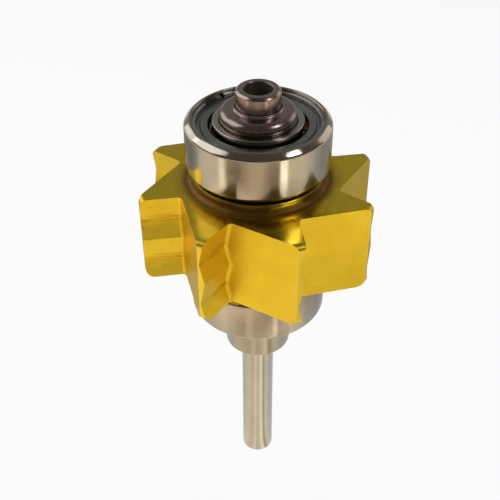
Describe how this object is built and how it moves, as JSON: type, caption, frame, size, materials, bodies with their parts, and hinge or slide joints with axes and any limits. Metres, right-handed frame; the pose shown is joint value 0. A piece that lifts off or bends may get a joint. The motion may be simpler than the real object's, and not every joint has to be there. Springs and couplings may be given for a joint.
{
  "type": "dental turbine cartridge",
  "caption": "Air turbine cartridge for a dental handpiece: bladed gold rotor on ball bearings, push-button collet chuck holding a plain pin.",
  "frame": {"origin": "centre of the upper bearing's outer ring, on the spindle's axis", "axes": "+Z along the spindle to the push-button end, the pin points along -Z; X and Y are square to it, with a blade tip near 20 degrees from -Y towards +X"},
  "size_m": [0.0104, 0.0104, 0.0221],
  "materials": {
    "ring_steel": "mirror ground steel",
    "inner_ring_steel": "ground steel",
    "shield_steel": "satin pressed steel",
    "spring_steel": "bright drawn wire",
    "cage_resin": "machined brown resin",
    "ball_steel": "polished",
    "gold_aluminium": "gold anodised, satin",
    "spindle_steel": "ground steel",
    "dark_steel": "polished hardened steel",
    "collet_steel": "hardened spring steel",
    "pin_steel": "ground steel"
  },
  "bodies": {
    "upper_race": {"upper_outer_ring": "ring_steel", "upper_shield": "shield_steel", "upper_snap_ring": "spring_steel"},
    "rotor": {"spindle": "spindle_steel", "impeller": "gold_aluminium", "spindle_cap": "dark_steel", "upper_inner_ring": "inner_ring_steel", "lower_inner_ring": "inner_ring_steel", "chuck_spring": "spring_steel"},
    "upper_balls": {"upper_cage": "cage_resin", "upper_ball_1": "ball_steel", "upper_ball_2": "ball_steel", "upper_ball_3": "ball_steel", "upper_ball_4": "ball_steel", "upper_ball_5": "ball_steel", "upper_ball_6": "ball_steel", "upper_ball_7": "ball_steel"},
    "lower_race": {"lower_outer_ring": "ring_steel", "lower_shield": "shield_steel", "lower_snap_ring": "spring_steel"},
    "lower_balls": {"lower_cage": "cage_resin", "lower_ball_1": "ball_steel", "lower_ball_2": "ball_steel", "lower_ball_3": "ball_steel", "lower_ball_4": "ball_steel", "lower_ball_5": "ball_steel", "lower_ball_6": "ball_steel", "lower_ball_7": "ball_steel"},
    "chuck": {"pusher": "dark_steel", "collet": "collet_steel"},
    "pin": {"test_pin": "pin_steel"}
  },
  "joints": [
    {"name": "rotor_spin", "type": "hinge", "parent": "upper_race", "child": "rotor", "pos_m": [0, 0, 0], "axis": [0, 0, -1], "continuous": true},
    {"name": "upper_ball_orbit", "type": "hinge", "parent": "upper_race", "child": "upper_balls", "pos_m": [0, 0, 0], "axis": [0, 0, -1], "continuous": true},
    {"name": "lower_ring_spin", "type": "hinge", "parent": "rotor", "child": "lower_race", "pos_m": [0, 0, -0.00775], "axis": [0, 0, -1], "continuous": true},
    {"name": "lower_ball_orbit", "type": "hinge", "parent": "rotor", "child": "lower_balls", "pos_m": [0, 0, -0.00775], "axis": [0, 0, -1], "continuous": true},
    {"name": "pusher_press", "type": "slide", "parent": "rotor", "child": "chuck", "axis": [0, 0, -1], "range_m": [0, 0.00035], "stiffness_N_per_m": 20000, "deforming": ["chuck_spring"]},
    {"name": "pin_slide", "type": "slide", "parent": "rotor", "child": "pin", "axis": [0, 0, -1], "range_m": [0, 0.0105]}
  ],
  "couplings": [
    {"joint": "upper_ball_orbit", "follows": "rotor_spin", "ratio": 0.393},
    {"joint": "lower_ball_orbit", "follows": "lower_ring_spin", "ratio": 0.607}
  ]
}
